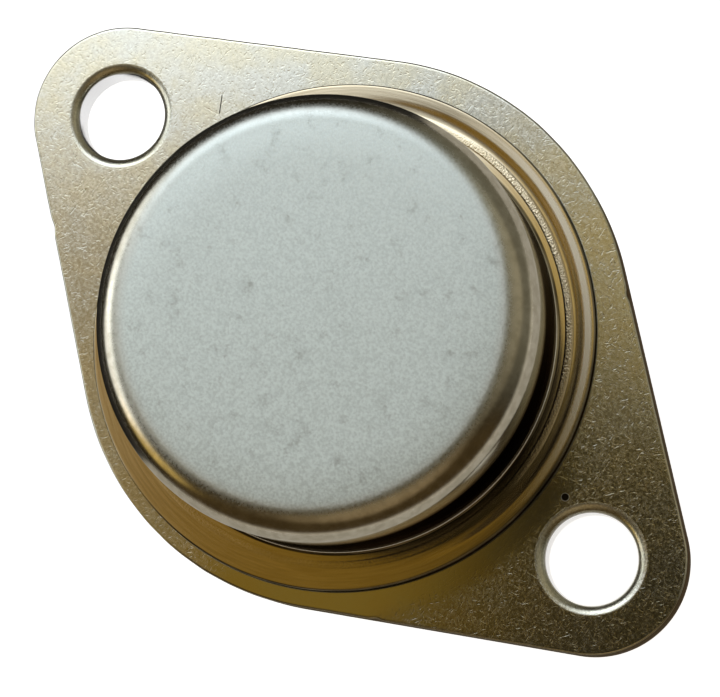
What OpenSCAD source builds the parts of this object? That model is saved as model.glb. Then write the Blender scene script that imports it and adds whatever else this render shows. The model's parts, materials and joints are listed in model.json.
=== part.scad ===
// Power transistor in a welded metal can on a two-hole diamond flange.
// The seating face lies in the plane z = 0, centred between the two screw holes, leads down.

/* [Flange] */
// Thickness of the steel flange
flange_t = 1.6; // [1.2:0.05:3]
// Distance between the two screw holes
hole_spacing = 30.15; // [29:0.05:40]
// Diameter of each screw hole
hole_d = 4.09; // [3:0.01:4.6]
// Width of metal around each screw hole
ear_wall = 2.2; // [1.6:0.05:4]
// Width of flange left outside the cap's brim
flange_margin = 1.1; // [0.8:0.05:3]
// How far the straight flanks lie inside the line that just touches middle and ear
flank_inset = 0.03; // [0.02:0.01:0.1]
// Radius of the rounded upper edge that punching leaves on the outline
edge_roll = 0.22; // [0.05:0.01:0.5]
// Width of the drawn-in upper edge of each screw hole
hole_roll_w = 0.48; // [0.1:0.01:0.7]
// Depth of that drawn-in edge
hole_roll_h = 0.32; // [0.1:0.01:0.6]

/* [Cap] */
// Outside diameter of the cap's wall
cap_d = 19.6; // [18:0.05:20.6]
// Height of the cap above the flange
cap_h = 7.05; // [5.5:0.05:12]
// Thickness of the cap's sheet
sheet_t = 0.5; // [0.3:0.01:0.7]
// Outside radius of the drawn corner round the top
corner_r = 1.4; // [0.9:0.05:3]
// Radius of the small fillet between wall and brim
foot_r = 0.16; // [0.1:0.01:0.55]
// Width of the brim beyond the wall
brim_w = 1.75; // [1.6:0.05:2.4]
// Radius of the brim's rounded outer edge
brim_roll = 0.08; // [0.05:0.01:0.32]
// Width of the ring that the welding electrode pressed into the brim
press_w = 0.7; // [0.6:0.05:0.8]
// Width of the lip left between that ring and the brim's edge
lip_w = 0.45; // [0.35:0.05:0.6]
// Depth of the pressed ring
press_depth = 0.03; // [0.02:0.01:0.1]
// Width of the ring's steep inner side
press_step = 0.08; // [0.02:0.01:0.1]
// Width of the ring's gentle outer side
press_slope = 0.3; // [0.1:0.05:0.4]
// How far along X the cap was welded off the flange's middle
cap_shift_x = -0.08; // [-0.4:0.01:0.4]
// How far along Y the cap was welded off the flange's middle
cap_shift_y = -0.39; // [-0.5:0.01:0.5]

/* [Leads and glass seals] */
// Distance between the two leads
lead_spacing = 10.92; // [10.2:0.01:12]
// How far the lead line sits from the middle, towards one screw hole
lead_offset = 1.825; // [1:0.005:3]
// Diameter of each lead
lead_d = 1.02; // [0.8:0.01:1.4]
// Length of each lead below the seating face
lead_length = 11.7; // [8:0.1:16]
// Radius of the rounded lead tip
tip_r = 0.3; // [0.1:0.05:0.4]
// How much the headed end of the wire swells inside its seal, on the diameter
lead_swell = 0.08; // [0.02:0.01:0.2]
// Diameter of the flat head that the bond wires land on
head_d = 2; // [1.6:0.05:2.6]
// Thickness of that head
head_t = 0.4; // [0.2:0.05:0.8]
// Diameter of the glass seal round each lead
seal_d = 3.2; // [2.6:0.05:3.8]
// Depth to which the glass is drawn down between the lead and the flange
meniscus = 0.15; // [0.05:0.01:0.3]

/* [Chip] */
// Length of the copper heat spreader along X
spreader_l = 8; // [6.5:0.1:9]
// Width of the copper heat spreader along Y
spreader_w = 6.6; // [6:0.1:7]
// Thickness of the copper heat spreader
spreader_t = 1; // [0.5:0.05:1.6]
// Place of the spreader's middle along X
spreader_x = -2.2; // [-3:0.1:-1.8]
// Thickness of the braze under the spreader
braze_t = 0.1; // [0.05:0.01:0.2]
// Width of the square silicon die
die_w = 5.2; // [4:0.1:5.8]
// Thickness of the silicon die
die_t = 0.3; // [0.2:0.05:0.5]
// Thickness of the solder under the die
solder_t = 0.1; // [0.05:0.01:0.2]

/* [Bond wires] */
// Diameter of the aluminium bond wires
wire_d = 0.38; // [0.2:0.01:0.4]
// Height of each wire's arch above the bonds
wire_rise = 1.6; // [1:0.1:2.5]
// Distance between the two emitter wires
wire_gap = 0.8; // [0.7:0.05:1]
// Distance from the die's edge to the middle of a bond
bond_inset = 1.2; // [0.9:0.05:1.8]
// Thickness of the flattened bond foot
foot_t = 0.16; // [0.1:0.01:0.2]
// Length of the flattened bond foot
foot_l = 0.8; // [0.6:0.05:1]
// Width of the flattened bond foot
foot_w = 0.56; // [0.5:0.01:0.6]

/* [Hidden] */

$fn = 96;
// Steps that a rounded profile takes through a right angle
arc_steps = 8;
// How far a cutting shape runs past the surface that it cuts
past = 1;
// Degrees by which a wire's arch runs past the bonding plane before it is cut there
arch_past = 6;

wall_r = cap_d / 2;
brim_r = wall_r + brim_w;
middle_r = brim_r + flange_margin;
hole_r = hole_d / 2;
ear_r = hole_r + ear_wall;
hole_x = hole_spacing / 2;
// Direction of the radius that meets the straight flank between the middle and an ear
flank_angle = acos((middle_r - ear_r) / hole_x);
flank_length = hole_x * sin(flank_angle);

brim_top = flange_t + sheet_t;
cap_top = flange_t + cap_h;
// Radii between which the pressed ring lies
lip_r = brim_r - lip_w;
press_r = lip_r - press_w;

lead_r = lead_d / 2;
swollen_r = lead_r + lead_swell / 2;
lead_y = lead_spacing / 2;

spreader_z = flange_t + braze_t;
solder_z = spreader_z + spreader_t;
die_z = solder_z + solder_t;
// The wires are bonded in one plane, on the die and on the lead heads
bond_z = die_z + die_t;
head_z = bond_z - head_t;

// Points of an oval arc round a centre in the section plane, with its half width and half height
function oval(centre, w, h, from, to, steps = arc_steps) =
    [for (i = [0 : steps]) let (a = from + (to - from) * i / steps) centre + [w * cos(a), h * sin(a)]];

// Points of a round arc in the section plane
function arc(centre, r, from, to) = oval(centre, r, r, from, to);

// Half section of a flange disc, with its upper edge rounded
module rolled_section(r) {
    polygon(concat([[0, 0], [r, 0]],
                   arc([r - edge_roll, flange_t - edge_roll], edge_roll, 0, 90),
                   [[0, flange_t]]));
}

// Straight-sided strip of the flange, from the middle disc to an ear
module flank() {
    rotate([0, 0, flank_angle])
        translate([middle_r - ear_r, 0, 0])
            rotate([90, 0, 0])
                linear_extrude(flank_length) rolled_section(ear_r - flank_inset);
}

// The solid diamond outline: a middle disc, two ears and four flanks
module flange_blank() {
    rotate_extrude() rolled_section(middle_r);
    for (side = [-1, 1])
        translate([side * hole_x, 0, 0])
            rotate_extrude() rolled_section(ear_r);
    for (mx = [0, 1], my = [0, 1])
        mirror([mx, 0, 0]) mirror([0, my, 0]) flank();
}

// Screw hole with its drawn-in upper edge, as a cutting shape
module screw_hole() {
    rotate_extrude()
        polygon(concat([[0, -past], [hole_r, -past]],
                       oval([hole_r + hole_roll_w, flange_t - hole_roll_h], hole_roll_w, hole_roll_h, 180, 90),
                       [[hole_r + hole_roll_w, flange_t + past], [0, flange_t + past]]));
}

module at_lead(side) {
    translate([lead_offset, side * lead_y, 0]) children();
}

module flange() {
    color("darkkhaki")
        difference() {
            flange_blank();
            for (side = [-1, 1]) {
                translate([side * hole_x, 0, 0]) screw_hole();
                at_lead(side)
                    translate([0, 0, -past]) cylinder(d = seal_d, h = flange_t + 2 * past);
            }
        }
}

// Drawn sheet cap with its corner, foot fillet and welded brim, as one revolved section
module cap() {
    foot_centre = [wall_r + foot_r, brim_top + foot_r];
    corner_centre = [wall_r - corner_r, cap_top - corner_r];
    press_z = brim_top - press_depth;
    color("lightgray")
        translate([cap_shift_x, cap_shift_y, 0])
            rotate_extrude($fn = 180)
                polygon(concat([[brim_r, flange_t]],
                               arc([brim_r - brim_roll, brim_top - brim_roll], brim_roll, 0, 90),
                               [[lip_r, brim_top], [lip_r - press_slope, press_z],
                                [press_r + press_step, press_z], [press_r, brim_top]],
                               arc(foot_centre, foot_r, 270, 180),
                               arc(corner_centre, corner_r, 0, 90),
                               [[0, cap_top], [0, cap_top - sheet_t]],
                               arc(corner_centre, corner_r - sheet_t, 90, 0),
                               arc(foot_centre, foot_r + sheet_t, 180, 270)));
}

// Wire lead: round tip, straight wire, slightly swollen sealed length and a flat head
module lead() {
    rotate_extrude()
        polygon(concat([[0, -lead_length]],
                       arc([lead_r - tip_r, tip_r - lead_length], tip_r, -90, 0),
                       [[lead_r, 0], [swollen_r, flange_t], [swollen_r, head_z],
                        [head_d / 2, head_z], [head_d / 2, bond_z], [0, bond_z]]));
}

module emitter_lead() { color("silver") at_lead(1) lead(); }

module base_lead() { color("silver") at_lead(-1) lead(); }

// Glass bead between a lead and the flange, drawn hollow between them on both faces
module seal() {
    seal_r = seal_d / 2;
    steps = [for (i = [0 : arc_steps]) i / arc_steps];
    rotate_extrude()
        polygon(concat([for (u = steps) [lead_r + u * (seal_r - lead_r), meniscus * sin(180 * u)]],
                       [for (u = steps) [seal_r + u * (swollen_r - seal_r),
                                         flange_t - meniscus * sin(180 * u)]]));
}

module emitter_seal() { color("darkseagreen") at_lead(1) seal(); }

module base_seal() { color("darkseagreen") at_lead(-1) seal(); }

// Flat block on the middle of the heat spreader's place
module chip_layer(l, w, t, z) {
    translate([spreader_x - l / 2, -w / 2, z]) cube([l, w, t]);
}

module spreader_braze() {
    color("goldenrod") chip_layer(spreader_l, spreader_w, braze_t, flange_t);
}

module heat_spreader() {
    color("peru") chip_layer(spreader_l, spreader_w, spreader_t, spreader_z);
}

module die_solder() {
    color("gray") chip_layer(die_w, die_w, solder_t, solder_z);
}

module die() {
    color("slategray") chip_layer(die_w, die_w, die_t, die_z);
}

// Flattened end of a bond wire, lying on the bonding plane along X
module bond_foot() {
    half = (foot_l - foot_w) / 2;
    linear_extrude(foot_t) {
        square([2 * half, foot_w], center = true);
        for (side = [-1, 1])
            translate([side * half, 0]) circle(d = foot_w);
    }
}

// Bond wire that arches from one point of the bonding plane to another
module bond_wire(from, to) {
    run = to - from;
    span = norm(run);
    arch_r = (span * span / 4 + wire_rise * wire_rise) / (2 * wire_rise);
    half_angle = acos(1 - wire_rise / arch_r);
    translate([from.x, from.y, bond_z])
        rotate([0, 0, atan2(run.y, run.x)]) {
            intersection() {
                translate([span / 2, 0, wire_rise - arch_r])
                    rotate([90, 0, 0])
                        rotate([0, 0, 90 - half_angle - arch_past])
                            rotate_extrude(angle = 2 * (half_angle + arch_past))
                                translate([arch_r, 0]) circle(d = wire_d, $fn = 32);
                translate([-span, -span, 0]) cube([3 * span, 2 * span, 2 * wire_rise]);
            }
            for (x = [0, span])
                translate([x, 0, 0]) bond_foot();
        }
}

// Bond on the die nearest to a lead, and the head of that lead
function die_bond(side) = [spreader_x + die_w / 2 - bond_inset, side * (die_w / 2 - bond_inset)];
function lead_bond(side) = [lead_offset, side * lead_y];

// Step sideways from the line between a die bond and its lead
function beside(side, d) =
    let (run = lead_bond(side) - die_bond(side)) d * [-run.y, run.x] / norm(run);

module emitter_wire(d) {
    bond_wire(die_bond(1) + beside(1, d), lead_bond(1) + beside(1, d));
}

module emitter_wire_1() { color("gainsboro") emitter_wire(-wire_gap / 2); }

module emitter_wire_2() { color("gainsboro") emitter_wire(wire_gap / 2); }

module base_wire() { color("gainsboro") bond_wire(die_bond(-1), lead_bond(-1)); }

flange();
cap();
emitter_lead();
base_lead();
emitter_seal();
base_seal();
spreader_braze();
heat_spreader();
die_solder();
die();
emitter_wire_1();
emitter_wire_2();
base_wire();
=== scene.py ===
"""Looks of a power transistor in a welded metal can: fine meshes, finishes, camera and soft light."""

import json
import math

import bmesh
import bpy
from mathutils import Euler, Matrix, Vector, noise


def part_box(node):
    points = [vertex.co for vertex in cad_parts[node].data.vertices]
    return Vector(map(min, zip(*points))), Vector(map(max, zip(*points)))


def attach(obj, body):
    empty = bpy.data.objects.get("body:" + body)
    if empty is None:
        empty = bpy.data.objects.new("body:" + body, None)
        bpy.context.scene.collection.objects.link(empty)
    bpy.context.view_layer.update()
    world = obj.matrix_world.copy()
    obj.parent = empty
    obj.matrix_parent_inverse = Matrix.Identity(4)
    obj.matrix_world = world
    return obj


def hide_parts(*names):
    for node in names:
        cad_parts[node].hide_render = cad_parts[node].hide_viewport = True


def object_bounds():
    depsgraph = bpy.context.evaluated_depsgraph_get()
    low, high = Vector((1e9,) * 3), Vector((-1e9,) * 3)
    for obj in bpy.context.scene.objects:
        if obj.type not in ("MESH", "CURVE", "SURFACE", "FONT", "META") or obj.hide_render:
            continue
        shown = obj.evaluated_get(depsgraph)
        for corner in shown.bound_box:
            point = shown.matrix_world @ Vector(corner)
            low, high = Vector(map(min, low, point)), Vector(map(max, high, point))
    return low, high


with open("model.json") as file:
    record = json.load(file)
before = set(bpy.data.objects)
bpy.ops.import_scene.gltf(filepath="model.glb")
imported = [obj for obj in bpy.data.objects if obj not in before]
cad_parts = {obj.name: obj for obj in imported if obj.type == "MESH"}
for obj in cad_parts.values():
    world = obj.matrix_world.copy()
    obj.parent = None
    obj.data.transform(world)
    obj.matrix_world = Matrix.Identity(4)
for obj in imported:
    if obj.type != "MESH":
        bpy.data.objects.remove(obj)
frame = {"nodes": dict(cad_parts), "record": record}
cad_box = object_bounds()

MM = 0.001

# Camera, as fitted to the photograph
CAMERA_AT_MM = (31.47, 3.07, 122.72)
CAMERA_TURN_DEG = (8.665, 11.326, 44.005)
CAMERA_LENS_MM = 138.5
SENSOR_MM = 36.0
CLIP_START_M = 0.001

# Sizes that the frame gives, in millimetres
mounts = {m["name"]: m for m in frame["record"]["mounts"]}
flange_low, flange_high = (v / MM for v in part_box("flange"))
cap_low, cap_high = (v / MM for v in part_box("cap"))
seal_low, seal_high = (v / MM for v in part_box("emitter_seal"))
FLANGE_T = flange_high.z
MIDDLE_R = flange_high.y
HOLE_X = mounts["mounting_holes"]["dims"]["spacing_x_mm"] / 2
HOLE_R = mounts["mounting_holes"]["dims"]["hole_r_mm"]
EAR_R = flange_high.x - HOLE_X
LEAD_X = (seal_low.x + seal_high.x) / 2
LEAD_Y = (seal_low.y + seal_high.y) / 2
SEAL_R = (seal_high.x - seal_low.x) / 2
CAP_X = (cap_low.x + cap_high.x) / 2
CAP_Y = (cap_low.y + cap_high.y) / 2
BRIM_R = (cap_high.x - cap_low.x) / 2
CAP_TOP = cap_high.z

# Form of the drawn cap and of the punched edges, in millimetres
SHEET_T = 0.5
BRIM_W = 1.75
CORNER_R = 1.4
FOOT_R = 0.16
BRIM_ROLL = 0.08
LIP_W = 0.45
PRESS_W = 0.7
PRESS_STEP = 0.2
PRESS_SLOPE = 0.35
# Depth of the pressed ring, which is uneven: least, most, and the turn at which it is deepest
PRESS_DEPTHS = (0.0, 0.022)
PRESS_DEEP_DEG = 50.0
# How far the top falls off towards its rim, and where that begins
CROWN_DROP = 0.05
CROWN_R = 6.6
EDGE_ROLL = 0.10
HOLE_ROLL_W = 0.48
HOLE_ROLL_H = FLANGE_T - mounts["screw_hole_near"]["dims"]["length_mm"]
LOWER_EDGE = 0.06
# Flat strip kept beside each rounded edge, so that it shades flat
EDGE_STRIP = 0.06

WALL_R = BRIM_R - BRIM_W
BRIM_TOP = FLANGE_T + SHEET_T
LIP_R = BRIM_R - LIP_W
PRESS_R = LIP_R - PRESS_W
TOP_R = WALL_R - CORNER_R

# Mesh fineness
ARC_STEPS = 12
CAP_SEGMENTS = 288
TOP_STEP_MM = 0.3
PRESS_RINGS = 10
HOLE_SEGMENTS = 144
OUTLINE_STEP_MM = 0.15


def oval(centre, width, height, start_deg, end_deg, steps=ARC_STEPS):
    """Points of an oval arc in the plane, both ends included."""
    points = []
    for i in range(steps + 1):
        angle = math.radians(start_deg + (end_deg - start_deg) * i / steps)
        points.append((centre[0] + width * math.cos(angle), centre[1] + height * math.sin(angle)))
    return points


def arc(centre, radius, start_deg, end_deg, steps=ARC_STEPS):
    return oval(centre, radius, radius, start_deg, end_deg, steps)


def new_piece(name, bm, material):
    """Turns a bmesh in millimetres into a smooth-shaded object in metres."""
    bmesh.ops.recalc_face_normals(bm, faces=bm.faces)
    bmesh.ops.scale(bm, vec=(MM, MM, MM), verts=bm.verts)
    mesh = bpy.data.meshes.new(name)
    bm.to_mesh(mesh)
    bm.free()
    for face in mesh.polygons:
        face.use_smooth = True
    mesh.materials.append(material)
    piece = bpy.data.objects.new(name, mesh)
    bpy.context.scene.collection.objects.link(piece)
    return piece


def smooth_step(value):
    """Smooth rise from nought to one."""
    value = min(max(value, 0.0), 1.0)
    return value * value * (3 - 2 * value)


def join_rings(bm, rings):
    """Quads between rings that have equally many vertices, each ring closed on itself."""
    for lower, upper in zip(rings, rings[1:]):
        count = len(lower)
        for i in range(count):
            j = (i + 1) % count
            bm.faces.new((lower[i], lower[j], upper[j], upper[i]))


def ring_edges(bm, ring):
    """The edges that close one ring of vertices."""
    edges = []
    for i, vert in enumerate(ring):
        after = ring[(i + 1) % len(ring)]
        edges.append(bm.edges.get((vert, after)) or bm.edges.new((vert, after)))
    return edges


def circle_ring(bm, x, y, radius, z, count=HOLE_SEGMENTS):
    """A level circle of vertices."""
    ring = []
    for i in range(count):
        angle = math.tau * i / count
        ring.append(bm.verts.new((x + radius * math.cos(angle), y + radius * math.sin(angle), z)))
    return ring


# The flange

# Small nicks in the flange's edge: place, depth and half width in millimetres
EDGE_NICKS = [
    ((-13.7, -5.8), 0.12, 0.30),
    ((8.2, 9.6), 0.10, 0.22),
    ((9.9, -8.4), 0.16, 0.17),
    ((14.0, -5.4), 0.08, 0.20),
    ((15.6, -4.5), 0.08, 0.18),
    ((14.0, 6.3), 0.07, 0.20),
]
# Slow waviness of the punched edge
EDGE_WAVE_MM = 0.012
EDGE_WAVE_PER_MM = 1.3


def outline_points():
    """Points of the diamond outline with the outward direction at each."""
    flank = math.degrees(math.acos((MIDDLE_R - EAR_R) / HOLE_X))
    stretches = [
        (HOLE_X, EAR_R, -flank, flank),
        (0.0, MIDDLE_R, flank, 180 - flank),
        (-HOLE_X, EAR_R, 180 - flank, 180 + flank),
        (0.0, MIDDLE_R, 180 + flank, 360 - flank),
    ]
    corners = []
    for x, radius, start, end in stretches:
        steps = round(math.radians(end - start) * radius / OUTLINE_STEP_MM)
        for i in range(steps + 1):
            angle = math.radians(start + (end - start) * i / steps)
            out = Vector((math.cos(angle), math.sin(angle)))
            corners.append((Vector((x, 0.0)) + radius * out, out))
    points = []
    for i, (place, out) in enumerate(corners):
        points.append((place, out))
        after, after_out = corners[(i + 1) % len(corners)]
        extra = round((after - place).length / OUTLINE_STEP_MM) - 1
        for k in range(1, extra + 1):
            share = k / (extra + 1)
            points.append((place.lerp(after, share), out.lerp(after_out, share).normalized()))
    return points


def edge_dent(place):
    """How far the punched edge lies inside its true line at one place."""
    wave = noise.noise((place.x * EDGE_WAVE_PER_MM, place.y * EDGE_WAVE_PER_MM, 0.0))
    dent = EDGE_WAVE_MM * (1 + wave)
    for at, depth, half in EDGE_NICKS:
        away = (place - Vector(at)).length / half
        dent += depth * math.exp(-away * away)
    return dent


def edge_section(width, height):
    """Section of a punched edge, as distance inward and height, from its lower corner to the top face."""
    section = [(LOWER_EDGE + EDGE_STRIP, 0.0), (LOWER_EDGE, 0.0), (0.0, LOWER_EDGE)]
    section.append((0.0, LOWER_EDGE + EDGE_STRIP))
    section += oval((width, FLANGE_T - height), width, height, 180, 90)
    section.append((width + EDGE_STRIP, FLANGE_T))
    return section


def build_flange(material):
    bm = bmesh.new()
    outline = outline_points()
    dents = [edge_dent(place) for place, _ in outline]
    rings = []
    for inset, z in edge_section(EDGE_ROLL, EDGE_ROLL):
        ring = []
        for (place, out), dent in zip(outline, dents):
            at = place - out * (inset + dent * z / FLANGE_T)
            ring.append(bm.verts.new((at.x, at.y, z)))
        rings.append(ring)
    join_rings(bm, rings)
    top_edges = ring_edges(bm, rings[-1])
    bottom_edges = ring_edges(bm, rings[0])
    for side in (-1, 1):
        hole = []
        for outset, z in edge_section(HOLE_ROLL_W, HOLE_ROLL_H):
            hole.append(circle_ring(bm, side * HOLE_X, 0.0, HOLE_R + outset, z))
        seat = []
        for outset, z in ((EDGE_STRIP, 0.0), (0.0, 0.0), (0.0, FLANGE_T), (EDGE_STRIP, FLANGE_T)):
            seat.append(circle_ring(bm, LEAD_X, side * LEAD_Y, SEAL_R + outset, z))
        for wall in (hole, seat):
            join_rings(bm, wall)
            top_edges += ring_edges(bm, wall[-1])
            bottom_edges += ring_edges(bm, wall[0])
    for edges in (top_edges, bottom_edges):
        bmesh.ops.triangle_fill(bm, use_beauty=True, use_dissolve=False, edges=edges)
    return new_piece("flange_plate", bm, material)


# The cap


def pressed(radius, turn):
    """Depth of the ring that welding pressed into the brim, at one radius and turn."""
    inner = smooth_step((radius - PRESS_R) / PRESS_STEP)
    outer = smooth_step((LIP_R - radius) / PRESS_SLOPE)
    share = smooth_step(math.cos(turn - math.radians(PRESS_DEEP_DEG)))
    return inner * outer * (PRESS_DEPTHS[0] + (PRESS_DEPTHS[1] - PRESS_DEPTHS[0]) * share)


def crown(radius):
    """How far the top lies below its middle at one radius."""
    return CROWN_DROP * (max(radius - CROWN_R, 0.0) / (TOP_R - CROWN_R)) ** 2


def cap_section():
    """Outer and inner half sections of the cap, as radius and height, without the pressed ring."""
    foot = (WALL_R + FOOT_R, BRIM_TOP + FOOT_R)
    corner = (TOP_R, CAP_TOP - CROWN_DROP - CORNER_R)
    corner_end = 90 - math.degrees(2 * CROWN_DROP / (TOP_R - CROWN_R))
    outer = [(BRIM_R, FLANGE_T), (BRIM_R, FLANGE_T + EDGE_STRIP)]
    outer += arc((BRIM_R - BRIM_ROLL, BRIM_TOP - BRIM_ROLL), BRIM_ROLL, 0, 90)
    outer.append((BRIM_R - BRIM_ROLL - EDGE_STRIP, BRIM_TOP))
    outer += [(LIP_R - PRESS_W * i / PRESS_RINGS, BRIM_TOP) for i in range(PRESS_RINGS + 1)]
    outer += arc(foot, FOOT_R, 270, 180)
    outer += arc(corner, CORNER_R, 0, corner_end, 2 * ARC_STEPS)
    top_rings = round(TOP_R / TOP_STEP_MM)
    top_radii = [TOP_R * (top_rings - i) / top_rings for i in range(top_rings)]
    outer += [(r, CAP_TOP - crown(r)) for r in top_radii]
    inner = [(r, CAP_TOP - SHEET_T - crown(r)) for r in reversed(top_radii)]
    inner += arc(corner, CORNER_R - SHEET_T, corner_end, 0)
    inner += arc(foot, FOOT_R + SHEET_T, 180, 270)
    return outer, inner


def build_cap(material):
    bm = bmesh.new()

    def rings(section):
        return [circle_ring(bm, CAP_X, CAP_Y, r, z, CAP_SEGMENTS) for r, z in section]

    sections = cap_section()
    outer, inner = (rings(section) for section in sections)
    for (radius, z), ring in zip(sections[0], outer):
        if z == BRIM_TOP:
            for i, vert in enumerate(ring):
                vert.co.z -= pressed(radius, math.tau * i / CAP_SEGMENTS)
    join_rings(bm, outer)
    join_rings(bm, inner)
    join_rings(bm, [inner[-1], outer[0]])
    for ring, z in ((outer[-1], CAP_TOP), (inner[0], CAP_TOP - SHEET_T)):
        middle = bm.verts.new((CAP_X, CAP_Y, z))
        for i, vert in enumerate(ring):
            bm.faces.new((vert, ring[(i + 1) % len(ring)], middle))
    return new_piece("cap_shell", bm, material)


# Shader nodes

WHITE = (1.0, 1.0, 1.0, 1.0)
# Detail and roughness of noise where a finish doesn't give its own
GRAIN_DETAIL = 3.0
GRAIN_ROUGHNESS = 0.55
# Values of noise between which broad clouds and fine grain go from one colour to another
CLOUD_FROM = (0.35, 0.65)
GRAIN_FROM = (0.3, 0.7)


def add_node(tree, kind, inputs=None, **settings):
    """Adds one node; an input is a value or another node's output."""
    added = tree.nodes.new(kind)
    for name, value in settings.items():
        setattr(added, name, value)
    for name, value in (inputs or {}).items():
        socket = added.inputs[name]
        if isinstance(value, bpy.types.NodeSocket):
            tree.links.new(value, socket)
        else:
            socket.default_value = value
    return added


def calc(tree, operation, a, b=0.0):
    return add_node(tree, "ShaderNodeMath", {0: a, 1: b}, operation=operation).outputs[0]


def vector_calc(tree, operation, a, b):
    return add_node(tree, "ShaderNodeVectorMath", {0: a, 1: b}, operation=operation)


def ramp(tree, value, low, high, to_low=0.0, to_high=1.0):
    """Smooth step of a value from one range to another."""
    inputs = {"Value": value, "From Min": low, "From Max": high, "To Min": to_low, "To Max": to_high}
    return add_node(tree, "ShaderNodeMapRange", inputs, interpolation_type="SMOOTHSTEP").outputs[0]


# Sockets of a Mix node: 0 is the share, 2 and 3 are two numbers, 6 and 7 are two colours


def mix_colour(tree, share, a, b):
    return add_node(tree, "ShaderNodeMix", {0: share, 6: a, 7: b}, data_type="RGBA").outputs[2]


def add_colour(tree, share, a, b):
    """One colour with a share of another added to it."""
    inputs = {0: share, 6: a, 7: b}
    return add_node(tree, "ShaderNodeMix", inputs, data_type="RGBA", blend_type="ADD").outputs[2]


def mix_value(tree, share, a, b):
    return add_node(tree, "ShaderNodeMix", {0: share, 2: a, 3: b}, data_type="FLOAT").outputs[0]


def grain(tree, place, per_mm, detail=GRAIN_DETAIL, roughness=GRAIN_ROUGHNESS):
    """Noise from nought to one, crowded to so many waves in a millimetre."""
    inputs = {"Vector": place, "Scale": per_mm, "Detail": detail, "Roughness": roughness}
    return add_node(tree, "ShaderNodeTexNoise", inputs).outputs[0]


def distance_to(tree, place, at):
    """Distance of each point from one place, in millimetres, seen from above."""
    flat = vector_calc(tree, "MULTIPLY", place, (1.0, 1.0, 0.0)).outputs[0]
    return vector_calc(tree, "DISTANCE", flat, (at[0], at[1], 0.0)).outputs["Value"]


def turn_round_cap(tree, place):
    """Angle of each point round the cap's axis."""
    from_axis = vector_calc(tree, "SUBTRACT", place, (CAP_X, CAP_Y, 0.0)).outputs[0]
    parts = add_node(tree, "ShaderNodeSeparateXYZ", {0: from_axis})
    return calc(tree, "ARCTAN2", parts.outputs["Y"], parts.outputs["X"])


def side_toward(tree, place, turn_deg, low, high):
    """One on the side of the cap at one turn, and nought on the other side."""
    turn = calc(tree, "SUBTRACT", turn_round_cap(tree, place), math.radians(turn_deg))
    return ramp(tree, calc(tree, "COSINE", turn), low, high)


def band(tree, value, low, high, soft):
    """One between two values and nought outside them, with soft ends."""
    rise = ramp(tree, value, low - soft, low)
    fall = ramp(tree, value, high + soft, high)
    return calc(tree, "MULTIPLY", rise, fall)


def strongest(tree, masks):
    """The greatest of several masks."""
    total = masks[0]
    for mask in masks[1:]:
        total = calc(tree, "MAXIMUM", total, mask)
    return total


def start_material(name):
    """A material with a metal shader, and the surface's place in millimetres."""
    material = bpy.data.materials.new(name)
    material.use_nodes = True
    tree = material.node_tree
    shader = tree.nodes["Principled BSDF"]
    shader.inputs["Metallic"].default_value = 1.0
    where = add_node(tree, "ShaderNodeTexCoord").outputs["Object"]
    place = vector_calc(tree, "MULTIPLY", where, (1 / MM, 1 / MM, 1 / MM)).outputs[0]
    return material, tree, shader, place


def set_relief(tree, shader, height_mm):
    """Fine surface relief from a height in millimetres."""
    inputs = {"Height": height_mm, "Distance": MM, "Strength": 1.0}
    tree.links.new(add_node(tree, "ShaderNodeBump", inputs).outputs[0], shader.inputs["Normal"])


# Finish of the flange: colours are linear

# Plate: the two colours of its clouds
PLATE_COOL = (0.69, 0.70, 0.62, 1.0)
PLATE_WARM = (0.70, 0.67, 0.51, 1.0)
# Darker metal in the grain's hollows, the noise at which a hollow begins and is full, and its greatest share
PLATE_PIT = (0.43, 0.41, 0.32, 1.0)
PIT_FROM = (0.65, 0.35)
PIT_SHARE = 0.34
# Raw metal of the punched side, darkened further as painted shade up over most of the rounded edge, the
# depths below the top face between which it begins, and how far it keeps from the walls of the screw holes
SIDE_RAW_AND_SHADE = (0.10, 0.075, 0.04, 1.0)
SIDE_RAW_ROUGH = 0.38
SIDE_RAW_FROM = (EDGE_ROLL / 8, EDGE_ROLL / 2)
SIDE_RAW_CLEAR = 2 * HOLE_ROLL_W
# Tint of the plate at a low angle
PLATE_EDGE_TINT = (0.35, 0.30, 0.22, 1.0)
# Dirt and painted shade: its colour and roughness
GRIME_AND_SHADE = (0.030, 0.024, 0.014, 1.0)
GRIME_AND_SHADE_ROUGH = 0.8
# Crowding of the plate's clouds and grain, the grain's depth, and roughness
PLATE_CLOUDS_PER_MM = 0.45
PLATE_GRAIN_PER_MM = 8.5
PLATE_GRAIN_MM = 0.0009
PLATE_ROUGH = (0.11, 0.17)
# Short bright scratches: directions, length and width, shift between directions, depth, roughness, and the
# detail, roughness and limits of the noise that places them
DASH_TURNS_DEG = (12, 57, 101, 148)
DASH_SIZE_MM = (0.29, 0.09, 1.0)
DASH_SHIFT_MM = 17.0
DASH_MM = 0.0013
DASH_ROUGH = 0.16
DASH_NOISE = (1.0, 0.4)
DASH_FROM = (0.66, 0.77)
# Smoother metal beside the brim: its middle, where the scratches fade in, its roughness, and the least share
# of the grain and scratches that is left there
SMOOTH_AT = (6.6, -10.4)
SMOOTH_R = (2.0, 5.5)
SMOOTH_ROUGH = 0.07
SMOOTH_LEAST = 0.1
# The smooth metal goes on along the brim: distances from it where it fades out, the turn of its middle,
# and how near that turn, as a cosine, it begins and is full
SMOOTH_W = (0.4, 1.7)
SMOOTH_TURN_DEG = 332.0
SMOOTH_FROM = (0.65, 0.88)
# A black speck on the flange, its radius, and the share of that which is full
SPECK_AT = (12.37, 1.2)
SPECK_R = 0.19
SPECK_FULL = 0.8
# A thin dark scratch, from end to end, its half width, and the shares of its length and width that are full
CRACK_ENDS = ((-12.13, 3.95), (-11.55, 3.15))
CRACK_HALF_W = 0.035
CRACK_FULL = (0.8, 0.3)
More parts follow.
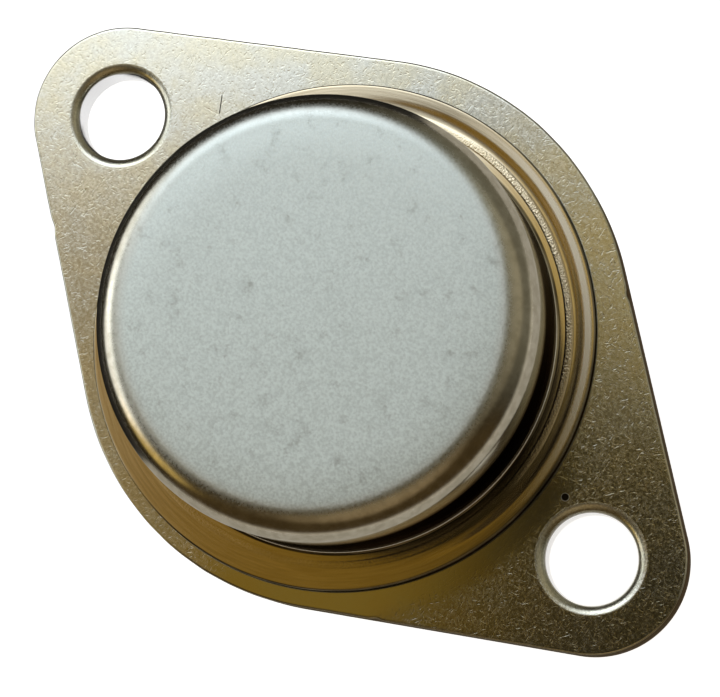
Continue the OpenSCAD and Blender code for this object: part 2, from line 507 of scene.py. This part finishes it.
# Walls of the screw holes, and the grainy rolled rim above them: distance from the wall where it begins
# and ends, softness, roughness and relief
HOLE_WALL = (0.60, 0.60, 0.61, 1.0)
RIM_BAND = (0.06, 0.40)
RIM_SOFT = 0.10
RIM_ROUGH = 0.27
RIM_GRAIN_MM = 0.006
# Painted shade, a dark line where the brim ends on the flange: its width, and how dark it gets
SEAM_SHADE_W = 0.07
SEAM_SHADE_SHARE = 0.9


def dashes(tree, place):
    """Short fine scratches in several directions."""
    masks = []
    for i, turn_deg in enumerate(DASH_TURNS_DEG):
        inputs = {
            "Vector": place,
            "Location": (i * DASH_SHIFT_MM, i * DASH_SHIFT_MM, 0.0),
            "Rotation": (0.0, 0.0, math.radians(turn_deg)),
            "Scale": DASH_SIZE_MM,
        }
        lines = add_node(tree, "ShaderNodeMapping", inputs, vector_type="TEXTURE").outputs[0]
        masks.append(ramp(tree, grain(tree, lines, 1.0, *DASH_NOISE), *DASH_FROM))
    return strongest(tree, masks)


def rough_places(tree, place, from_cap):
    """One on the rough plate, and almost nought on the smooth metal beside the brim."""
    apart = ramp(tree, distance_to(tree, place, SMOOTH_AT), *SMOOTH_R)
    along = ramp(tree, from_cap, BRIM_R + SMOOTH_W[1], BRIM_R + SMOOTH_W[0])
    near = side_toward(tree, place, SMOOTH_TURN_DEG, *SMOOTH_FROM)
    beside = calc(tree, "SUBTRACT", 1.0, calc(tree, "MULTIPLY", along, near))
    return calc(tree, "MAXIMUM", calc(tree, "MULTIPLY", apart, beside), SMOOTH_LEAST)


def crack(tree, place):
    """Mask of the thin dark scratch."""
    start, end = (Vector((x, y, 0.0)) for x, y in CRACK_ENDS)
    middle = (start + end) / 2
    along = (end - start).normalized()
    across = Vector((-along.y, along.x, 0.0))
    from_middle = vector_calc(tree, "SUBTRACT", place, middle).outputs[0]
    length = calc(tree, "ABSOLUTE", vector_calc(tree, "DOT_PRODUCT", from_middle, along).outputs["Value"])
    width = calc(tree, "ABSOLUTE", vector_calc(tree, "DOT_PRODUCT", from_middle, across).outputs["Value"])
    half = (end - start).length / 2
    inside = ramp(tree, length, half, CRACK_FULL[0] * half)
    return calc(tree, "MULTIPLY", inside, ramp(tree, width, CRACK_HALF_W, CRACK_FULL[1] * CRACK_HALF_W))


def from_holes(tree, place):
    """Distance of each point from the wall of the nearer screw hole."""
    away = [distance_to(tree, place, (side * HOLE_X, 0.0)) for side in (-1, 1)]
    return calc(tree, "SUBTRACT", calc(tree, "MINIMUM", away[0], away[1]), HOLE_R)


def punched_side(tree, place, hole_away):
    """Mask of the plate's outer side, below the rounded edge and away from the screw holes."""
    height = add_node(tree, "ShaderNodeSeparateXYZ", {0: place}).outputs["Z"]
    below = ramp(tree, height, FLANGE_T - SIDE_RAW_FROM[0], FLANGE_T - SIDE_RAW_FROM[1])
    above = ramp(tree, height, 0.0, LOWER_EDGE)
    clear = ramp(tree, hole_away, 0.0, SIDE_RAW_CLEAR)
    return calc(tree, "MULTIPLY", calc(tree, "MULTIPLY", below, above), clear)


def flange_finish():
    """Rough plate with scratches, dirt, grainy hole rims, and painted shade by the brim and on the bare
    punched sides.
    """
    material, tree, shader, place = start_material("nickel_plate_rough")
    fine = grain(tree, place, PLATE_GRAIN_PER_MM)
    clouds = grain(tree, place, PLATE_CLOUDS_PER_MM)
    from_cap = distance_to(tree, place, (CAP_X, CAP_Y))
    rough_part = rough_places(tree, place, from_cap)
    scratches = calc(tree, "MULTIPLY", dashes(tree, place), rough_part)

    colour = mix_colour(tree, ramp(tree, clouds, *CLOUD_FROM), PLATE_COOL, PLATE_WARM)
    pits = calc(tree, "MULTIPLY", ramp(tree, fine, *PIT_FROM, 0.0, PIT_SHARE), rough_part)
    colour = mix_colour(tree, pits, colour, PLATE_PIT)
    hole_away = from_holes(tree, place)
    rim = band(tree, hole_away, *RIM_BAND, RIM_SOFT)
    # Painted shade: the punched side and most of its rounded edge are darkened, away from the screw holes
    side = punched_side(tree, place, hole_away)
    colour = mix_colour(tree, side, colour, SIDE_RAW_AND_SHADE)
    hole_wall = ramp(tree, hole_away, RIM_BAND[0], 0.0)
    colour = mix_colour(tree, hole_wall, colour, HOLE_WALL)
    tree.links.new(mix_colour(tree, hole_wall, PLATE_EDGE_TINT, WHITE), shader.inputs["Specular Tint"])
    # Painted shade: a dark line round the brim's edge; the speck and the scratch are real marks
    seam_shade = ramp(tree, from_cap, BRIM_R + SEAM_SHADE_W, BRIM_R, 0.0, SEAM_SHADE_SHARE)
    speck = ramp(tree, distance_to(tree, place, SPECK_AT), SPECK_R, SPECK_FULL * SPECK_R)
    dirt_and_shade = strongest(tree, [seam_shade, speck, crack(tree, place)])
    tree.links.new(mix_colour(tree, dirt_and_shade, colour, GRIME_AND_SHADE), shader.inputs["Base Color"])

    rough = mix_value(tree, ramp(tree, fine, *GRAIN_FROM), *PLATE_ROUGH)
    rough = mix_value(tree, rough_part, SMOOTH_ROUGH, rough)
    rough = mix_value(tree, scratches, rough, DASH_ROUGH)
    rough = mix_value(tree, side, rough, SIDE_RAW_ROUGH)
    rough = mix_value(tree, rim, rough, RIM_ROUGH)
    tree.links.new(mix_value(tree, dirt_and_shade, rough, GRIME_AND_SHADE_ROUGH), shader.inputs["Roughness"])

    height = calc(tree, "MULTIPLY", calc(tree, "MULTIPLY", fine, PLATE_GRAIN_MM), rough_part)
    height = calc(tree, "SUBTRACT", height, calc(tree, "MULTIPLY", scratches, DASH_MM))
    rim_grain = calc(tree, "MULTIPLY", calc(tree, "MULTIPLY", fine, rim), RIM_GRAIN_MM)
    set_relief(tree, shader, calc(tree, "ADD", height, rim_grain))
    return material


# Finish of the cap

# Matte top: the two colours of its grain, its stains with their crowding, noise and limits, its roughness,
# and the grain's crowding and depth
TOP_DARK = (0.63, 0.70, 0.67, 1.0)
TOP_LIGHT = (0.81, 0.89, 0.86, 1.0)
TOP_STAIN = (0.46, 0.50, 0.47, 1.0)
TOP_STAIN_PER_MM = 1.3
TOP_STAIN_NOISE = (6.0, 0.7)
TOP_STAIN_FROM = (0.54, 0.76)
TOP_ROUGH = (0.42, 0.52)
TOP_GRAIN_PER_MM = 8.5
TOP_GRAIN_MM = 0.0035
# Radii between which the matte finish gives way to the smooth corner, how much farther out it reaches on
# one side, the turn of that side, and how near that turn, as a cosine, it does so
MATTE_R = (8.0, 9.15)
MATTE_SHIFT = 0.4
MATTE_FAR_DEG = 125.0
MATTE_FAR_FROM = (0.2, 0.9)
# Smooth corner and wall: two colours, crowding of their clouds, and roughness
SIDE_DARK = (0.48, 0.45, 0.37, 1.0)
SIDE_LIGHT = (0.57, 0.54, 0.46, 1.0)
SIDE_GRAIN_PER_MM = 2.0
CORNER_ROUGH = (0.16, 0.22)
WALL_ROUGH = (0.18, 0.24)
# Slope by which the side leans in towards the top, the height from which it does, and how softly
SIDE_LEAN = 0.16
LEAN_FROM = 6.3
LEAN_SOFT = 1.2
# Painted highlight, a bright line at the wall's foot: colour, roughness, and its heights above the brim with
# their softness
FOOT_HIGHLIGHT_COLOUR = (0.95, 0.93, 0.88, 1.0)
FOOT_HIGHLIGHT_ROUGH = 0.22
FOOT_HIGHLIGHT_BAND = (0.04, 0.45)
FOOT_HIGHLIGHT_SOFT = 0.05
# Painted shade: dark line where the fillet meets the brim, dark outer edge of the brim with the width of its
# darkest part, and how dark both are, from place to place
CREASE_SHADE_R = (WALL_R + 0.09, WALL_R + 0.17)
CREASE_SHADE_SOFT = 0.03
BRIM_EDGE_SHADE_W = 0.10
BRIM_EDGE_SHADE_FULL_W = BRIM_EDGE_SHADE_W / 3
BRIM_SHADE_RANGE = (0.4, 0.9)
BRIM_SHADE_PER_MM = 0.2
# Painted shade on the wall, for the dark reflections it shows, lower and upper, its dark tint at a low angle,
# and the heights between which the lower gives way to the upper and the upper fades out
WALL_LOWER_SHADE = (0.16, 0.14, 0.11, 1.0)
WALL_UPPER_SHADE = (0.04, 0.032, 0.022, 1.0)
WALL_SHADE_EDGE_TINT = (0.15, 0.12, 0.09, 1.0)
SHADE_LOWER_Z = (2.9, 4.2)
SHADE_UPPER_Z = (5.2, 6.2)
# Brim: the two colours of its streaks, and roughness
BRIM_DARK = (0.65, 0.56, 0.38, 1.0)
BRIM_LIGHT = (0.74, 0.65, 0.46, 1.0)
BRIM_ROUGH = (0.08, 0.13)
# Painted highlight, a light ring on the brim's lip, where the pressed ring is deep: its radius, half width
# and softness, then its colour and roughness
LIP_HIGHLIGHT_RING = (BRIM_R - 0.33, 0.08, 0.16)
LIP_HIGHLIGHT_COLOUR = (0.78, 0.72, 0.57, 1.0)
LIP_HIGHLIGHT_ROUGH = 0.28
# How near the deepest turn, as a cosine, the lip's painted highlight and the sparkle begin and are full
DEEP_FROM = (0.5, 0.95)
# Fine streaks round the brim: crowding round and across, and depth
STREAKS_PER_RADIAN = 5.0
STREAKS_PER_MM = 9.0
STREAK_MM = 0.0008
# Fine ridges that drawing left across the top's rim: crowding round and across, noise, depth, and the width
# and softness of the ring that has them
RIDGES_PER_RADIAN = 26.0
RIDGES_PER_MM = 1.0
RIDGE_NOISE = (2.0, 0.5)
RIDGE_MM = 0.0012
RIDGE_RING_W = 0.8
RIDGE_RING_SOFT = 0.5
# Rough sparkling ring at the inner side of the pressed ring: half width, crowding and depth of its grain, and
# its least share where the pressed ring is shallow
SPARK_HALF_W = 0.10
SPARK_PER_MM = 11.0
SPARK_MM = 0.022
SPARK_LEAST = 0.15


def round_place(tree, place, radius, per_radian, per_mm):
    """Texture place that runs round the cap's axis and out from it."""
    angle = turn_round_cap(tree, place)
    inputs = {"X": calc(tree, "MULTIPLY", angle, per_radian), "Y": calc(tree, "MULTIPLY", radius, per_mm)}
    return add_node(tree, "ShaderNodeCombineXYZ", inputs).outputs[0]


def drawing_ridges(tree, place, radius):
    """Fine radial ridges near the top's rim, as a height from nought to one."""
    along = round_place(tree, place, radius, RIDGES_PER_RADIAN, RIDGES_PER_MM)
    ring = band(tree, radius, TOP_R - RIDGE_RING_W, TOP_R, RIDGE_RING_SOFT)
    return calc(tree, "MULTIPLY", grain(tree, along, 1.0, *RIDGE_NOISE), ring)


def cap_relief(tree, place, radius, height, fine, streaks, top, brim, deep):
    """Height in millimetres of the cap's fine relief."""
    relief = calc(tree, "MULTIPLY", calc(tree, "MULTIPLY", fine, TOP_GRAIN_MM), top)
    inputs = {0: height, 1: LEAN_FROM, 2: LEAN_SOFT}
    leaning = add_node(tree, "ShaderNodeMath", inputs, operation="SMOOTH_MAX").outputs[0]
    relief = calc(tree, "SUBTRACT", relief, calc(tree, "MULTIPLY", leaning, SIDE_LEAN))
    ridges = calc(tree, "MULTIPLY", drawing_ridges(tree, place, radius), RIDGE_MM)
    relief = calc(tree, "ADD", relief, calc(tree, "MULTIPLY", ridges, top))
    spark = band(tree, radius, PRESS_R - SPARK_HALF_W, PRESS_R + SPARK_HALF_W, SPARK_HALF_W)
    spark = calc(tree, "MULTIPLY", spark, calc(tree, "MAXIMUM", deep, SPARK_LEAST))
    sparkle = calc(tree, "MULTIPLY", grain(tree, place, SPARK_PER_MM), SPARK_MM)
    on_brim = calc(tree, "MULTIPLY", sparkle, spark)
    on_brim = calc(tree, "ADD", on_brim, calc(tree, "MULTIPLY", streaks, STREAK_MM))
    return calc(tree, "ADD", relief, calc(tree, "MULTIPLY", on_brim, brim))


def cap_finish():
    """Matte top, smooth corner, wall and streaked brim, with painted shade and painted highlights."""
    material, tree, shader, place = start_material("cap_plate")
    height = add_node(tree, "ShaderNodeSeparateXYZ", {0: place}).outputs["Z"]
    radius = distance_to(tree, place, (CAP_X, CAP_Y))
    fine = grain(tree, place, TOP_GRAIN_PER_MM)
    clouds = grain(tree, place, SIDE_GRAIN_PER_MM)
    streaks = grain(tree, round_place(tree, place, radius, STREAKS_PER_RADIAN, STREAKS_PER_MM), 1.0)
    farther = calc(tree, "MULTIPLY", side_toward(tree, place, MATTE_FAR_DEG, *MATTE_FAR_FROM), MATTE_SHIFT)
    top = ramp(tree, calc(tree, "SUBTRACT", radius, farther), MATTE_R[1], MATTE_R[0])
    brim = ramp(tree, height, BRIM_TOP + FOOT_R / 2, BRIM_TOP)
    wall = ramp(tree, height, CAP_TOP - CORNER_R / 2, CAP_TOP - CORNER_R)
    # Painted highlight: a near-white band low on the wall, for the sheen of the fillet at its foot
    foot = band(tree, height, BRIM_TOP + FOOT_HIGHLIGHT_BAND[0], BRIM_TOP + FOOT_HIGHLIGHT_BAND[1], FOOT_HIGHLIGHT_SOFT)

    share = ramp(tree, fine, *GRAIN_FROM)
    stain = ramp(tree, grain(tree, place, TOP_STAIN_PER_MM, *TOP_STAIN_NOISE), *TOP_STAIN_FROM)
    top_colour = mix_colour(tree, stain, mix_colour(tree, share, TOP_DARK, TOP_LIGHT), TOP_STAIN)
    side_colour = mix_colour(tree, ramp(tree, clouds, *CLOUD_FROM), SIDE_DARK, SIDE_LIGHT)
    # Painted shade: the wall is dark low down and near black higher up, then its own colour; the dark tint at
    # a low angle goes with it
    upper = ramp(tree, height, *SHADE_LOWER_Z)
    above_shade = ramp(tree, height, *SHADE_UPPER_Z)
    side_colour = mix_colour(tree, above_shade, mix_colour(tree, upper, WALL_LOWER_SHADE, WALL_UPPER_SHADE), side_colour)
    tree.links.new(mix_colour(tree, above_shade, WALL_SHADE_EDGE_TINT, WHITE), shader.inputs["Specular Tint"])
    side_colour = mix_colour(tree, foot, side_colour, FOOT_HIGHLIGHT_COLOUR)
    brim_colour = mix_colour(tree, ramp(tree, streaks, *CLOUD_FROM), BRIM_DARK, BRIM_LIGHT)
    deep = side_toward(tree, place, PRESS_DEEP_DEG, *DEEP_FROM)
    # Painted highlight: a light ring on the lip, on the side where the pressed ring is deepest
    ring_r, ring_half, ring_soft = LIP_HIGHLIGHT_RING
    lip_highlight = calc(tree, "MULTIPLY", deep, band(tree, radius, ring_r - ring_half, ring_r + ring_half, ring_soft))
    brim_colour = mix_colour(tree, lip_highlight, brim_colour, LIP_HIGHLIGHT_COLOUR)
    side_colour = mix_colour(tree, brim, side_colour, brim_colour)
    # Painted shade: a dark line in the crease at the wall's foot and along the brim's outer edge, uneven from
    # place to place
    crease_shade = band(tree, radius, *CREASE_SHADE_R, CREASE_SHADE_SOFT)
    brim_edge_shade = ramp(tree, radius, BRIM_R - BRIM_EDGE_SHADE_W, BRIM_R - BRIM_EDGE_SHADE_FULL_W)
    uneven = ramp(tree, grain(tree, place, BRIM_SHADE_PER_MM), *CLOUD_FROM, *BRIM_SHADE_RANGE)
    dirt_and_shade = calc(tree, "MULTIPLY", calc(tree, "MAXIMUM", crease_shade, brim_edge_shade), uneven)
    side_colour = mix_colour(tree, dirt_and_shade, side_colour, GRIME_AND_SHADE)
    tree.links.new(mix_colour(tree, top, side_colour, top_colour), shader.inputs["Base Color"])

    side_rough = mix_value(tree, wall, mix_value(tree, share, *CORNER_ROUGH),
                           mix_value(tree, share, *WALL_ROUGH))
    side_rough = mix_value(tree, foot, side_rough, FOOT_HIGHLIGHT_ROUGH)
    brim_rough = mix_value(tree, lip_highlight, mix_value(tree, streaks, *BRIM_ROUGH), LIP_HIGHLIGHT_ROUGH)
    side_rough = mix_value(tree, brim, side_rough, brim_rough)
    top_rough = mix_value(tree, share, *TOP_ROUGH)
    tree.links.new(mix_value(tree, top, side_rough, top_rough), shader.inputs["Roughness"])

    set_relief(tree, shader, cap_relief(tree, place, radius, height, fine, streaks, top, brim, deep))
    return material


# Finishes of the other pieces


def plain_metal(name, dark, light, per_mm, rough, relief_mm):
    """Metal with fine grain in its colour, roughness and surface."""
    material, tree, shader, place = start_material(name)
    fine = grain(tree, place, per_mm)
    share = ramp(tree, fine, *GRAIN_FROM)
    tree.links.new(mix_colour(tree, share, dark, light), shader.inputs["Base Color"])
    tree.links.new(mix_value(tree, share, *rough), shader.inputs["Roughness"])
    set_relief(tree, shader, calc(tree, "MULTIPLY", fine, relief_mm))
    return material


# Glass of the seals: two colours, crowding of its clouds, roughness, coat and relief
GLASS_DARK = (0.05, 0.10, 0.08, 1.0)
GLASS_LIGHT = (0.12, 0.20, 0.16, 1.0)
GLASS_CLOUDS_PER_MM = 2.5
GLASS_ROUGH = (0.05, 0.14)
GLASS_COAT = 0.5
GLASS_RELIEF_MM = 0.006


def glass_finish():
    """Cloudy greenish glass."""
    material, tree, shader, place = start_material("seal_glass")
    shader.inputs["Metallic"].default_value = 0.0
    shader.inputs["Coat Weight"].default_value = GLASS_COAT
    clouds = grain(tree, place, GLASS_CLOUDS_PER_MM)
    share = ramp(tree, clouds, *GRAIN_FROM)
    tree.links.new(mix_colour(tree, share, GLASS_DARK, GLASS_LIGHT), shader.inputs["Base Color"])
    tree.links.new(mix_value(tree, share, *GLASS_ROUGH), shader.inputs["Roughness"])
    set_relief(tree, shader, calc(tree, "MULTIPLY", clouds, GLASS_RELIEF_MM))
    return material


# Build

plate = build_flange(flange_finish())
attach(plate, "root")
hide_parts("flange")

shell = build_cap(cap_finish())
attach(shell, "root")
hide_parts("cap")

# Finish of each hidden piece: its nodes, then dark and light colour, grain per mm, roughness and relief
HIDDEN_METALS = {
    "lead_wire": (("emitter_lead", "base_lead"),
                  (0.55, 0.53, 0.48, 1), (0.68, 0.66, 0.62, 1), 6.0, (0.22, 0.36), 0.003),
    "bond_wire": (("emitter_wire_1", "emitter_wire_2", "base_wire"),
                  (0.72, 0.72, 0.73, 1), (0.82, 0.82, 0.83, 1), 9.0, (0.20, 0.34), 0.002),
    "braze": (("spreader_braze",), (0.52, 0.42, 0.24, 1), (0.66, 0.56, 0.36, 1), 4.0, (0.30, 0.50), 0.006),
    "copper": (("heat_spreader",), (0.60, 0.28, 0.15, 1), (0.72, 0.38, 0.22, 1), 3.0, (0.25, 0.42), 0.003),
    "solder": (("die_solder",), (0.36, 0.36, 0.38, 1), (0.50, 0.50, 0.52, 1), 4.0, (0.35, 0.55), 0.006),
    "silicon": (("die",), (0.10, 0.10, 0.13, 1), (0.16, 0.17, 0.20, 1), 2.0, (0.08, 0.16), 0.001),
}


def dress(node_names, material):
    """Gives carried-over nodes their finish."""
    for node_name in node_names:
        mesh = frame["nodes"][node_name].data
        mesh.materials.clear()
        mesh.materials.append(material)


for metal, (node_names, *finish) in HIDDEN_METALS.items():
    dress(node_names, plain_metal(metal, *finish))
dress(("emitter_seal", "base_seal"), glass_finish())


# Stage: floor, sky, lamp and camera

FLOOR_SIZE_M = 3.0
FLOOR_COLOUR = (0.86, 0.86, 0.86, 1.0)
STAGE_ROUGH = 0.9
# Glow of the floor, for the camera and in reflections
FLOOR_GLOW = 0.92
# Two sheets on the floor, seen only in reflections, give the can's side its pale and dark bands. The pale one
# lies round the object and the dark one beyond it. The line between them changes round the object: turn in
# degrees, then distance from the flange in millimetres
SHEET_PALE = (0.50, 0.47, 0.41, 1.0)
SHEET_DARK = (0.012, 0.011, 0.010, 1.0)
SHEET_LINE = [(0.0, 1200.0), (105.0, 1200.0), (118.0, 0.6), (215.0, 0.6), (250.0, 14.0), (262.0, 1200.0),
              (360.0, 1200.0)]
SHEET_START_MM = 0.5
SHEET_END_MM = 1210.0
SHEET_LIFT_MM = 0.1
# Sky: a dim warm room with soft patches of light added, each with its height, turn, full and fading reach in
# degrees, and its colour
ROOM_COLOUR = (0.02, 0.015, 0.006, 1.0)
SKY_PATCHES = [
    (60.0, 318.0, 8.0, 24.0, (0.26, 0.20, 0.12, 1.0)),
    (15.0, 315.0, 50.0, 68.0, (0.05, 0.03, 0.01, 1.0)),
    (60.0, 70.0, 12.0, 30.0, (0.22, 0.19, 0.13, 1.0)),
    (20.0, 78.0, 25.0, 60.0, (0.18, 0.17, 0.13, 1.0)),
    (77.5, 151.0, 3.0, 5.2, (0.50, 0.39, 0.17, 1.0)),
    (71.0, 205.0, 7.0, 10.5, (0.20, 0.12, 0.015, 1.0)),
    (61.0, 206.0, 6.0, 14.0, (0.30, 0.29, 0.26, 1.0)),
    (31.0, 245.0, 4.0, 15.0, (0.85, 0.60, 0.18, 1.0)),
    (33.0, 222.0, 11.0, 18.0, (1.55, 1.56, 1.52, 1.0)),
    (35.0, 197.0, 11.0, 16.0, (1.55, 1.58, 1.56, 1.0)),
    (55.0, 155.0, 12.0, 22.0, (0.95, 1.02, 1.12, 1.0)),
    (57.0, 161.0, 11.0, 19.0, (1.10, 1.16, 1.28, 1.0)),
]
# Pale glow low in the sky on the near side: colour, its height as a sine where full and gone, its turn,
# and its full and fading reach in degrees
GLOW_COLOUR = (0.55, 0.52, 0.46, 1.0)
GLOW_Z = (0.05, 0.23)
GLOW_TURN_DEG = 345.0
GLOW_REACH_DEG = (60.0, 95.0)
# One soft lamp, aimed at the object
LAMP_HEIGHT_DEG = 50.0
LAMP_TURN_DEG = 161.0
LAMP_DISTANCE_M = 0.5
LAMP_SIZE_M = 0.22
LAMP_WATTS = 0.1


def toward(height_deg, turn_deg):
    """Direction at an angle above the horizon, turned about Z from +X."""
    height = math.radians(height_deg)
    turn = math.radians(turn_deg)
    return Vector((math.cos(height) * math.cos(turn), math.cos(height) * math.sin(turn), math.sin(height)))


def stage_piece(name, bm, material):
    """Turns a bmesh in metres into a piece of the stage, lying on the object's lowest level."""
    mesh = bpy.data.meshes.new(name)
    bm.to_mesh(mesh)
    bm.free()
    mesh.materials.append(material)
    piece = bpy.data.objects.new(name, mesh)
    piece.location.z = cad_box[0][2]
    bpy.context.scene.collection.objects.link(piece)
    return piece


def matte(name, colour):
    """A plain dull material for the stage."""
    material = bpy.data.materials.new(name)
    material.use_nodes = True
    shader = material.node_tree.nodes["Principled BSDF"]
    shader.inputs["Base Color"].default_value = colour
    shader.inputs["Roughness"].default_value = STAGE_ROUGH
    return material


def build_floor():
    material = matte("pale_floor", FLOOR_COLOUR)
    tree = material.node_tree
    shader = tree.nodes["Principled BSDF"]
    path = add_node(tree, "ShaderNodeLightPath").outputs
    seen = strongest(tree, [path["Is Camera Ray"], path["Is Glossy Ray"], path["Is Transmission Ray"]])
    shader.inputs["Emission Color"].default_value = WHITE
    tree.links.new(calc(tree, "MULTIPLY", seen, FLOOR_GLOW), shader.inputs["Emission Strength"])
    bm = bmesh.new()
    bmesh.ops.create_grid(bm, x_segments=1, y_segments=1, size=FLOOR_SIZE_M / 2)
    stage_piece("floor", bm, material)


def sheet_line(turn_deg):
    """Distance from the flange to the line between the two sheets, at one turn."""
    for (start, near), (end, far) in zip(SHEET_LINE, SHEET_LINE[1:]):
        if turn_deg <= end:
            return near + (far - near) * (turn_deg - start) / (end - start)
    return SHEET_LINE[-1][1]


def build_sheet(name, material, start=None, end=None):
    """A sheet round the object, from one distance to another or to the line between the sheets."""
    bm = bmesh.new()
    rings = ([], [])
    for place, _ in outline_points():
        out = place.normalized()
        line = sheet_line(math.degrees(math.atan2(place.y, place.x)) % 360)
        for ring, away in zip(rings, (start or line, end or line)):
            at = (place + out * away) * MM
            ring.append(bm.verts.new((at.x, at.y, SHEET_LIFT_MM * MM)))
    join_rings(bm, rings)
    sheet = stage_piece(name, bm, material)
    sheet.visible_camera = False
    sheet.visible_diffuse = False
    sheet.visible_shadow = False


def build_sheets():
    # Painted reflection: the pale sheet is dark with a pale glow, and the dark sheet is black, both seen only
    # in reflections
    glowing = matte("pale_sheet", SHEET_DARK)
    shader = glowing.node_tree.nodes["Principled BSDF"]
    shader.inputs["Emission Color"].default_value = SHEET_PALE
    shader.inputs["Emission Strength"].default_value = 1.0
    build_sheet("pale_sheet", glowing, start=SHEET_START_MM)
    build_sheet("dark_sheet", matte("dark_sheet", SHEET_DARK), end=SHEET_END_MM)


def sky_patch(tree, way, middle, full_deg, fade_deg):
    """One round the middle of a patch of sky and nought beyond its fading reach."""
    facing = vector_calc(tree, "DOT_PRODUCT", way, middle).outputs["Value"]
    return ramp(tree, facing, math.cos(math.radians(fade_deg)), math.cos(math.radians(full_deg)))


def build_sky():
    """A dim warm room with soft patches of light and a pale glow low on the near side."""
    world = bpy.data.worlds.new("studio")
    bpy.context.scene.world = world
    world.use_nodes = True
    tree = world.node_tree
    way = add_node(tree, "ShaderNodeTexCoord").outputs["Generated"]
    colour = ROOM_COLOUR
    for height_deg, turn_deg, full_deg, fade_deg, patch in SKY_PATCHES:
        share = sky_patch(tree, way, toward(height_deg, turn_deg), full_deg, fade_deg)
        colour = add_colour(tree, share, colour, patch)
    low = ramp(tree, add_node(tree, "ShaderNodeSeparateXYZ", {0: way}).outputs["Z"], GLOW_Z[1], GLOW_Z[0])
    near = sky_patch(tree, way, toward(0.0, GLOW_TURN_DEG), *GLOW_REACH_DEG)
    colour = add_colour(tree, calc(tree, "MULTIPLY", low, near), colour, GLOW_COLOUR)
    background = tree.nodes["Background"]
    tree.links.new(colour, background.inputs["Color"])
    background.inputs["Strength"].default_value = 1.0


def add_lamp():
    lamp = bpy.data.lights.new("window", "AREA")
    lamp.shape = "DISK"
    lamp.size = LAMP_SIZE_M
    lamp.energy = LAMP_WATTS
    holder = bpy.data.objects.new("window", lamp)
    holder.location = toward(LAMP_HEIGHT_DEG, LAMP_TURN_DEG) * LAMP_DISTANCE_M
    holder.rotation_euler = (-holder.location).to_track_quat("-Z", "Y").to_euler()
    bpy.context.scene.collection.objects.link(holder)


def add_camera():
    data = bpy.data.cameras.new("camera")
    data.sensor_width = SENSOR_MM
    data.sensor_fit = "HORIZONTAL"
    data.lens = CAMERA_LENS_MM
    data.clip_start = CLIP_START_M
    camera = bpy.data.objects.new("camera", data)
    camera.location = Vector(CAMERA_AT_MM) * MM
    camera.rotation_euler = Euler([math.radians(a) for a in CAMERA_TURN_DEG], "XYZ")
    bpy.context.scene.collection.objects.link(camera)
    bpy.context.scene.camera = camera


build_floor()
build_sheets()
build_sky()
add_lamp()
add_camera()
bpy.context.scene.view_settings.view_transform = "Standard"
